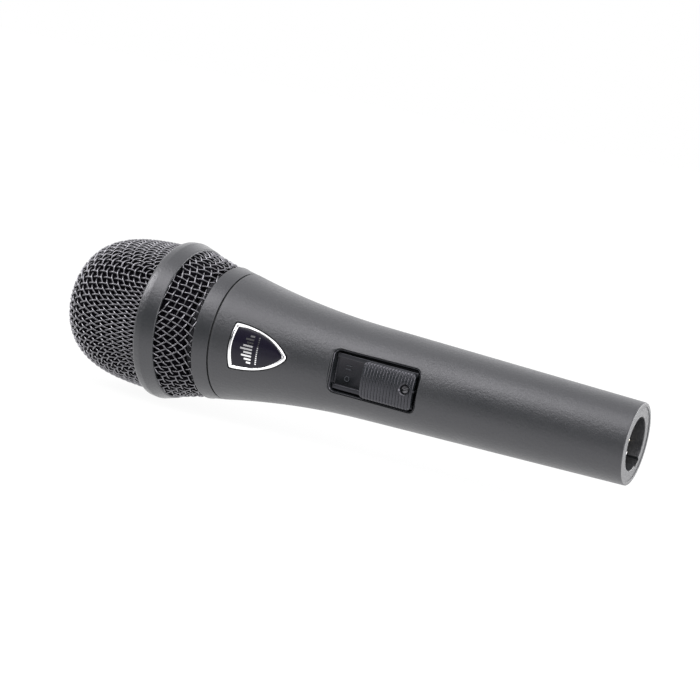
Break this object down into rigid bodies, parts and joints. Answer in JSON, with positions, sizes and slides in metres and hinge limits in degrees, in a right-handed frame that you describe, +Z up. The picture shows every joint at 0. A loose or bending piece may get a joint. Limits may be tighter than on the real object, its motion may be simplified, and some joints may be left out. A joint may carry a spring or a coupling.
{
  "type": "handheld dynamic microphone",
  "caption": "Handheld dynamic microphone with a flared grip, a slide switch, a shield badge, a plug socket and a screw-on woven wire grille round a moving-coil capsule.",
  "frame": {"origin": "on the microphone's long axis, at the centre of the insulator face inside the tail that the cable's plug seats on", "axes": "+X along the long axis towards the open tail, -X towards the grille; the switch and the badge face -Y; +Z is up with the microphone lying level"},
  "size_m": [0.1892, 0.051, 0.051],
  "materials": {
    "body_paint": "satin charcoal paint with a fine grain",
    "mesh_paint": "satin dark grey paint on woven wire",
    "black_plastic": "fine moulded grain",
    "gloss_black": "polished",
    "chrome": "bright plating",
    "steel": "plain turned or pressed steel",
    "magnet_metal": "nickel-plated sintered magnet",
    "brass": "bright",
    "copper": "enamelled copper winding",
    "film": "thin formed film",
    "felt": "pressed felt",
    "circuit_board": "green solder mask",
    "wire_sleeve": "soft plastic insulation",
    "insulator": "moulded insulator",
    "rubber": "matt moulded rubber",
    "foam": "open-cell foam"
  },
  "bodies": {
    "handle": {"handle_shell": "body_paint", "threaded_neck": "steel", "badge_rim": "chrome", "badge_plate": "gloss_black", "switch_bezel": "black_plastic", "slide_switch_body": "steel", "switch_board": "circuit_board", "switch_screw_head": "steel", "switch_screw_tail": "steel", "rear_chamber_cup": "black_plastic", "shock_mount": "rubber", "capsule_housing": "steel", "capsule_frame": "black_plastic", "magnet_yoke": "steel", "magnet": "magnet_metal", "pole_piece": "steel", "cap_felt": "felt", "resonator_cap": "steel", "terminal_board": "circuit_board", "terminal_hot": "brass", "terminal_cold": "brass", "wire_capsule_hot": "wire_sleeve", "wire_capsule_cold": "wire_sleeve", "wire_pin_ground": "wire_sleeve", "wire_pin_hot": "wire_sleeve", "wire_pin_cold": "wire_sleeve", "connector_insert": "insulator", "connector_pin_1": "brass", "connector_pin_2": "brass", "connector_pin_3": "brass", "insert_lock_screw": "steel"},
    "slider": {"switch_slider": "black_plastic", "slider_screw": "steel", "switch_actuator": "black_plastic"},
    "gasket_ring": {"collar_gasket": "rubber"},
    "foam_cup": {"foam_liner": "foam"},
    "grille": {"grille_collar": "body_paint", "skirt_mesh": "mesh_paint", "equator_band": "body_paint", "dome_mesh": "mesh_paint"},
    "diaphragm_unit": {"diaphragm": "film", "voice_coil": "copper"}
  },
  "joints": [
    {"name": "switch_slide", "type": "slide", "parent": "handle", "child": "slider", "axis": [-1, 0, 0], "range_m": [0, 0.0084]},
    {"name": "grille_lift_off", "type": "slide", "parent": "handle", "child": "gasket_ring", "axis": [-1, 0, 0], "range_m": [0, 0.06]},
    {"name": "thread_travel", "type": "slide", "parent": "gasket_ring", "child": "foam_cup", "axis": [-1, 0, 0], "range_m": [0, 0.00625]},
    {"name": "grille_turn", "type": "hinge", "parent": "foam_cup", "child": "grille", "pos_m": [0, 0, 0], "axis": [-1, 0, 0], "range_deg": [0, 1800]},
    {"name": "diaphragm_travel", "type": "slide", "parent": "handle", "child": "diaphragm_unit", "axis": [-1, 0, 0], "range_m": [-0.00015, 0.00015]}
  ],
  "couplings": [
    {"joint": "thread_travel", "follows": "grille_turn", "m_per_rad": 0.0001989}
  ]
}
